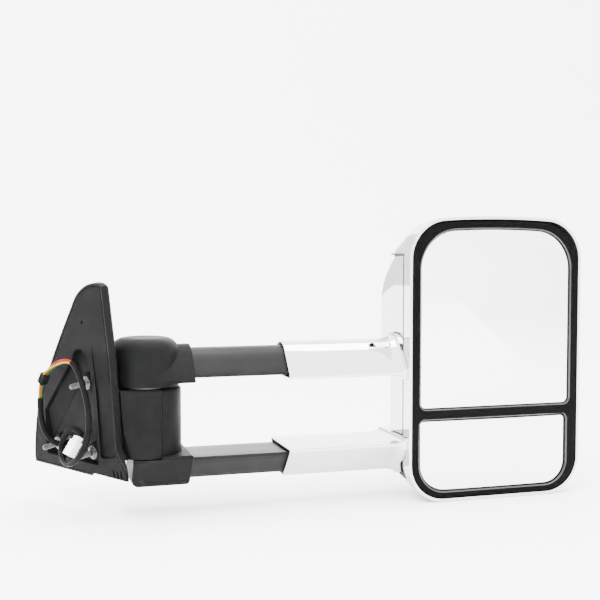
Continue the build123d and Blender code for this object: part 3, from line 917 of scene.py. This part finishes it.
def sail_outline():
    """The plate's outline: level bottom, bowed slope, rounded apex and a near upright rear edge."""
    outline = points_of((0, 0), (60, 0), (120, 0), (174, 0))
    outline += arc_through((173.4, 8), (165, 37), (149, 74), 8)
    outline += arc_through((149, 74), (108, 127.5), (61.5, 182.5), 12)[1:]
    outline += arc_through((61.5, 182.5), (43, 199.5), (17, 207.5), 10)[1:]
    rear = ((9, 206.5), (5.2, 204), (4.4, 200), (5.2, 165), (6, 130), (10, 83), (14, 36), (11.5, 30),
            (0.6, 15), (0, 13))
    return outline + points_of(*rear)


def make_sail_cover():
    """The grained outer moulding: a thin dished plate with a stepped, softened edge."""
    face, step = SAIL_DEPTH, SAIL_EDGE_WIDTH
    inner = [(face - SAIL_WALL, step + SAIL_WALL), (0.3, SAIL_WALL), (0, SAIL_WALL - 0.3)]
    outer = [(0, 0.3), (0.3, 0), (SAIL_EDGE_DEPTH - 0.8, 0), (SAIL_EDGE_DEPTH - 0.2, 0.3)]
    outer += [(face - 0.6, step - 0.5), (face - 0.1, step + 0.3), (face, step + 1)]
    cover = solid("sail_cover", upright_rings(sail_outline(), inner + outer), "grained_black", door)
    stations = list(zip(RELIEF_LEVELS, (RELIEF_SPREAD, 0, 0)))
    cut(cover, turned_tool(RELIEF_RADIUS, stations, 96))
    return stand_in(cover, "sail_cover")


# depths from the door face: the frame's back, and the floors of its recess and of the facet in it
FRAME_BACK = 3.0
RECESS_FLOOR = 7.4
FACET_HIGH = 7.0
FACET_LOW = 3.2


def recess_outline():
    return (points_of((52, 14), (98, 14), (144, 14), (146, 16), (142.5, 40), (138, 64), (105, 95))
            + arc_through((72, 126), (54, 136.5), (43, 122), 12)
            + points_of((46, 70), (49.4, 21), (50, 16)))


def frame_tool(outline, stations):
    """A tool piece in door coordinates, drawn in by its inset at each depth."""
    return solid("tool", upright_rings(outline, stations), "frame_black", door)


def door_disc(place, radius, stations, sides=32):
    return round_bar("tool", place, radius, stations, "frame_black", door, sides)


def channel_tool():
    """A cutter for the channel beside the rear edge, whose floor rises to nothing at its top."""
    outline = rounded(points_of((10, 143), (12.6, 80), (17, 27), (44, 21), (37, 92), (35, 143)),
                      (2, 20, 4, 4, 20, 2), 5)
    below = [(p.x, p.y, -1) for p in outline]
    floor = [(p.x, p.y, 2.3 - 2.2 * max(0, (p.y - 60) / 83)) for p in outline]
    return solid("tool", [below, floor], "frame_black", door)


def facet_tool():
    """A wedge that fills the recess under its slanting edge."""
    outline = ((72, 99), (80, 91.5), (133, 38.5), (140, 31), (137.5, 62), (104, 95), (76, 120))
    depths = (FACET_HIGH, FACET_HIGH, FACET_HIGH, FACET_HIGH, FACET_LOW, FACET_LOW, FACET_LOW + 0.4)
    slope = [(a, u, out) for (a, u), out in zip(outline, depths)]
    back = [(a, u, RECESS_FLOOR + 0.5) for a, u in outline]
    return solid("tool", [slope, back], "frame_black", door)


def make_mounting_frame():
    """The inner moulding that faces the door: a rim, an arched recess, a channel, bosses and ribs."""
    outline = drawn_in(sail_outline(), SAIL_WALL + 0.5)
    rim = [(0, 0.6), (0.5, 0.1), (0.8, 0), (FRAME_BACK, 0)]
    body = solid("mounting_frame", upright_rings(outline, rim), "frame_black", door)
    opening = recess_outline()
    combine(body, frame_tool(drawn_in(opening, -2.4), [(0.8, 0), (8.2, 0)]), "UNION")
    floor = RECESS_FLOOR
    stations = [(-1.0, -1.4), (0.4, -0.5), (1.4, 0), (floor - 1.5, 0.6), (floor - 0.4, 1.2), (floor, 2.4)]
    cut(body, frame_tool(opening, stations))
    cut(body, channel_tool())
    combine(body, facet_tool(), "UNION")
    for place in STUDS:
        combine(body, door_disc(place, 10.2, [(2.4, -1.6), (3.2, -0.5), (7.9, 0.6)]), "UNION")
    cut(body, door_disc((46, 166), 2.0, [(-1, 0.6), (0.2, 0), (1.2, -0.4)], 20))
    for k in range(3):
        a = 9.0 + 6.5 * k
        slot = rounded(points_of((a, 3.2), (a + 2.2, 3.2), (a + 3.4, 12.5), (a + 1.2, 12.5)), [1.0] * 4, 4)
        cut(body, frame_tool(slot, [(-1, -0.4), (0.3, 0), (1.8, 0.2)]))
    cut(body, door_disc(LEAD_ROUTE[0][:2], 6.5, [(floor - 4, 0), (12, 0)]))
    return stand_in(body, "mounting_frame")


STUD_RADIUS = 2.95
STUD_REACH = 18.0
THREAD_PITCH = 1.0
THREAD_DEPTH = 0.55
THREAD_START = -2.4
# the stud's flange and its pointed end, as places out from the door face and radii
STUD_FLANGE = ((2.2, 6.6), (1.9, 7.3), (1.2, 7.5), (0.7, 7.2), (0.2, 5.6), (-0.3, 3.6), (-0.8, 3.0),
               (THREAD_START, STUD_RADIUS))
STUD_POINT = ((1.4 - STUD_REACH, 2.45), (0.6 - STUD_REACH, 2.2), (0.1 - STUD_REACH, 1.5))


def thread_ring(place, out, sides):
    """A ring of the thread, which fades in and out at its ends."""
    fade = min(1.0, (THREAD_START - out) / 1.5, (out + STUD_REACH - 1.0) / 1.2)
    ring = []
    for i in range(sides):
        wave = (out / THREAD_PITCH - i / sides) % 1
        radius = STUD_RADIUS - THREAD_DEPTH * max(fade, 0) * abs(2 * wave - 1)
        ring.append(circle_point(place, radius, out, i, sides))
    return ring


def make_studs():
    """Flanged studs with a rolled M6 thread and a plain, pointed end."""
    sides = 24
    levels = []
    level = THREAD_START
    while level > 1.6 - STUD_REACH:
        level -= THREAD_PITCH / 6
        levels.append(level)
    points, faces = [], []
    for place in STUDS:
        rings = [circle(place, radius, out, sides) for out, radius in STUD_FLANGE]
        rings += [thread_ring(place, out, sides) for out in levels]
        rings += [circle(place, radius, out, sides) for out, radius in STUD_POINT]
        start = len(points)
        stud_points, stud_faces = skin(rings)
        points += stud_points
        faces += [tuple(i + start for i in face) for face in stud_faces]
    studs = mesh_piece("mounting_studs", [door(*p) for p in points], faces, "zinc", 40)
    return stand_in(studs, "mounting_studs")


# ---- wiring pigtail

LEAD_WIDTH = 6.0
WIRE_RADIUS = 0.85
CORE_RADIUS = 1.2
# where the sleeve stops short beside the clip, how fast it thins there, and how far on it is orange
BARE_PLACES = ((119.5, 82, -15.5), (51, 127, -15))
BARE_BLEND = 1.2
BARE_MARGIN = 1.5
CLIP_PLACE = (107.5, 105.5, -15.2)
# the free lead's route from the plate's corner: along the door, up it, and outboard of its face, in mm
LEAD_ROUTE = [
    (107.5, 30, 6.4), (107.5, 30, -4), (109.5, 33, -11), (114.5, 40, -15.5),
    (120, 51, -17), (122, 69.5, -16), (119, 85.5, -15.5), (112.5, 100.5, -15.5),
    (103, 111.5, -15), (88.5, 120, -15), (74, 125.5, -15), (59, 128.5, -15),
    (48.5, 126.5, -15), (41, 117.5, -15), (36.5, 104, -15), (33, 89.5, -15),
    (32, 74.5, -15.5), (31.5, 61.5, -17.5), (32.5, 48, -21.5), (36.5, 37, -26),
    (45.5, 28, -28.5), (60.5, 21, -27.5), (76, 20, -24), (87.5, 25.5, -19),
    (92, 34, -14.5), (89.5, 43, -11), (82, 51, -8.5), (71.5, 52.5, -7),
    (63.5, 47.5, -6.5),
]


def route_line(points):
    """Points along the smooth curve that the lead follows."""
    curve = bpy.data.curves.new("route", "CURVE")
    curve.dimensions = "3D"
    spline = curve.splines.new("NURBS")
    spline.points.add(len(points) - 1)
    for control, p in zip(spline.points, points):
        control.co = (*p, 1)
    spline.order_u = 3
    spline.use_endpoint_u = True
    spline.resolution_u = 12
    carrier = bpy.data.objects.new("route", curve)
    mesh = bpy.data.meshes.new_from_object(carrier)
    line = [v.co.copy() for v in mesh.vertices]
    bpy.data.objects.remove(carrier)
    return line


def tube_rings(line, radii, sides, offset=None):
    """Rings of points round a line, with no twist, and a radius for each of its points."""
    tangents = [(b - a).normalized() for a, b in zip(line, line[1:])]
    tangents.append(tangents[-1])
    side = outward.copy()
    rings = []
    for k, (point, tangent, radius) in enumerate(zip(line, tangents, radii)):
        if k == 0:
            side = tangent.orthogonal()
        side = (side - tangent * side.dot(tangent)).normalized()
        other = tangent.cross(side)
        centre = point
        if offset:
            turn, away = offset(k)
            centre = point + (side * math.cos(turn) + other * math.sin(turn)) * away
        turns = [2 * math.pi * i / sides for i in range(sides)]
        rings.append([centre + (side * math.cos(t) + other * math.sin(t)) * radius for t in turns])
    return rings


def nearest(line, point):
    return min(range(len(line)), key=lambda k: (line[k] - point).length)


def make_wires(part):
    """Three wires wound loosely round the lead's core along that part of its line."""
    wires = []
    for number, color in enumerate(("wire_green", "wire_red", "wire_yellow")):

        def lay(k, number=number):
            share = k / (len(part) - 1)
            spread = math.sin(math.pi * min(max(share, 0), 1)) ** 0.5
            turn = 2 * math.pi * (number - 1) / 3 + 0.4 + 1.2 * share + 0.25 * math.sin(9 * share + number)
            return turn, (CORE_RADIUS + WIRE_RADIUS * spread) * MM

        rings = tube_rings(part, [WIRE_RADIUS * MM] * len(part), 10, lay)
        wires.append(extra(mesh_piece(f"lead_{color}", *skin(rings), color), "base"))
    return wires


def make_lead():
    """The sleeved lead, whose coloured wires show where the sleeve stops short at the clip."""
    line = route_line([door(*p) for p in LEAD_ROUTE])
    reach = [0.0]
    for a, b in zip(line, line[1:]):
        reach.append(reach[-1] + (b - a).length)
    first, last = (nearest(line, door(*place)) for place in BARE_PLACES)
    bare_from, bare_to = reach[first], reach[last]
    full, bare = LEAD_WIDTH / 2 * MM, CORE_RADIUS * MM
    radii = []
    for r in reach:
        inside = min(r - bare_from, bare_to - r)
        blend = min(max(inside / (BARE_BLEND * MM), 0), 1)
        radii.append(full + (bare - full) * blend)
    sides = 16
    lead = mesh_piece("lead_sleeve", *skin(tube_rings(line, radii, sides)), "cord_black")
    lead.data.materials.append(MATERIALS["wire_orange"])
    margin = BARE_MARGIN * MM
    for face in lead.data.polygons:
        r = reach[min(face.vertices[0] // sides, len(reach) - 1)]
        if bare_from + margin < r < bare_to - margin:
            face.material_index = 1
    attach(lead, "base")
    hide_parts("harness_lead")
    wires = make_wires(line[first - 3:last + 4])
    door(*LEAD_ROUTE[0])
    make_clip()
    make_connector()


def seat_rings(origin, x_way, z_way, width, height, radius, stations):
    """Rings of a rounded rectangle that face along z_way, with a level and an inset for each."""
    z_way = z_way.normalized()
    x_way = (x_way - z_way * x_way.dot(z_way)).normalized()
    y_way = z_way.cross(x_way)
    corners = rectangle(-width / 2, width / 2, -height / 2, height / 2)
    rings = []
    for level, inset in stations:
        outline = rounded(drawn_in(corners, inset), [max(radius - inset, 0.3)] * 4, 4)
        rings.append([origin + (x_way * p.x + y_way * p.y + z_way * level) * MM for p in outline])
    return rings


def make_clip():
    """A ribbed rubber clip that gathers the wires."""
    run = door(103, 111.5, -15) - door(112.5, 100.5, -15.5)
    stations = [(-6.8, 1.6), (-6.5, 1.0)]
    for k in range(5):
        middle = -5.2 + 2.6 * k
        stations += [(middle - 0.9, 0.9), (middle - 0.7, 0.1), (middle + 0.5, 0.1), (middle + 0.7, 0.9)]
    stations += [(6.6, 1.0), (6.9, 1.7)]
    rings = seat_rings(door(*CLIP_PLACE), outward, run, 8.8, 8.8, 1.6, stations)
    return stand_in(mesh_piece("harness_clip", *skin(rings), "tape_black"), "harness_clip")


def make_connector():
    """A flat nylon plug: a stepped body with a groove round it and a shallow hollow mouth."""
    top = door(68.5, 44, -7)
    run = door(70, 27.5, -21.5) - top
    stations = [(0, 2.0), (0.4, 1.6), (4.6, 1.6), (5.0, 0.5), (5.6, 0.1), (11, 0.1), (11.2, 0.6)]
    stations += [(12.4, 0.6), (12.6, 0.1), (21.2, 0.1), (21.8, 0.6), (21.8, 1.5), (16, 1.6)]
    rings = seat_rings(top, along, run, 13, 9, 1.4, stations)
    return stand_in(mesh_piece("harness_connector", *skin(rings), "connector_white"), "harness_connector")


make_sleeve("upper_sleeve", UPPER_SECTION, UPPER_RADII)
make_sleeve("lower_sleeve", lower_section(), LOWER_RADII)
make_arm("upper_arm", UPPER_CORE, UPPER_CORE_RADII)
make_arm("lower_arm", LOWER_CORE, LOWER_CORE_RADII)
make_post()
make_upper_knuckle()
make_lower_knuckle()
make_head_shell()
make_front_cover()
# the dark strip in the cover's gap is painted shade
make_cover_gap_shade()
make_bezel()
make_upper_glass()
make_lower_glass()
make_sail_cover()
make_mounting_frame()
make_studs()
make_lead()


# ---- floor, backdrop and light


# how far the floor lies under the CAD model's lowest point, in metres
FLOOR_GAP = 0.0005


def make_stage():
    """A pale sweep in one sheet: a floor, with a wide bend up to a wall at both ends."""
    low = cad_box[0].z - FLOOR_GAP
    near, depth, bend, height, half = -3.2, 1.3, 0.9, 3.2, 6.0
    steps = 24
    turns = [math.pi / 2 * k / steps for k in range(steps + 1)]
    profile = [(near - bend, height)]
    profile += [(near - bend * math.sin(t), bend * (1 - math.cos(t))) for t in reversed(turns)]
    profile += [(depth + bend * math.sin(t), bend * (1 - math.cos(t))) for t in turns]
    profile.append((depth + bend, height))
    points = []
    for y, z in profile:
        points += [Vector((-half, y, low + z)), Vector((half, y, low + z))]
    faces = [(2 * k, 2 * k + 1, 2 * k + 3, 2 * k + 2) for k in range(len(profile) - 1)]
    s = Surface("pale_floor", (0.93, 0.93, 0.93), 0.75)
    s.feed(s.tint(s.noise(3, 3), (0.925, 0.925, 0.925), (0.94, 0.94, 0.94)), "Base Color")
    MATERIALS["pale_floor"] = s.material
    sweep = mesh_piece("floor_sweep", points, faces, "pale_floor")


def make_cards():
    """Cards that only reflections see: the pale ones give the chrome soft greys, the black ones edges."""
    MATERIALS["card_black"] = plain_plastic("card_black", (0.02, 0.02, 0.02), 0.8)
    MATERIALS["card_pale"] = plain_plastic("card_pale", (0.42, 0.42, 0.42), 0.8)
    for name, corner, wide, tall, material in CARDS:
        corner, wide, tall = Vector(corner), Vector(wide), Vector(tall)
        points = [corner, corner + wide, corner + wide + tall, corner + tall]
        card = mesh_piece(name, points, [(0, 1, 2, 3)], material)
        card.visible_camera = False
        card.visible_diffuse = False
        card.visible_shadow = False


# name, one corner, the two edges from it, and the material of each card
CARDS = (
    ("card_left", (-2.4, -2.4, -0.10), (0, 2.6, 0), (0.3, 0, 2.2), "card_pale"),
    ("card_low", (-1.7, -2.1, -0.11), (1.6, 0, 0), (0, 0, 0.10), "card_black"),
    ("card_right", (2.6, 0.3, -0.10), (0, 0.6, 0), (0, 0, 1.8), "card_black"),
    ("card_front", (-2.0, 1.8, -0.10), (2.2, 0, 0), (0, 0.3, 1.8), "card_pale"),
)


def area_light(name, place, aim, size, power, in_gloss=True):
    """A rectangular lamp that shines from a place towards an aim, seen in reflections or not."""
    data = bpy.data.lights.new(name, "AREA")
    data.shape = "RECTANGLE"
    data.size, data.size_y = size
    data.energy = power
    light = add_object(name, data)
    light.location = place
    light.rotation_euler = (Vector(aim) - Vector(place)).to_track_quat("-Z", "Y").to_euler()
    light.visible_glossy = in_gloss


def make_light():
    world = bpy.data.worlds.new("studio")
    bpy.context.scene.world = world
    world.use_nodes = True
    back = next(n for n in world.node_tree.nodes if n.type == "BACKGROUND")
    back.inputs["Color"].default_value = (1, 1, 1, 1)
    back.inputs["Strength"].default_value = 6.5
    area_light("key", (-1.1, -1.3, 2.3), (-1.1, -1.29, 0), (1.6, 1.2), 190, False)
    area_light("top", (0.2, 0.2, 2.6), (0.2, 0.21, 0), (2.2, 1.6), 150)


make_stage()
make_cards()
make_light()
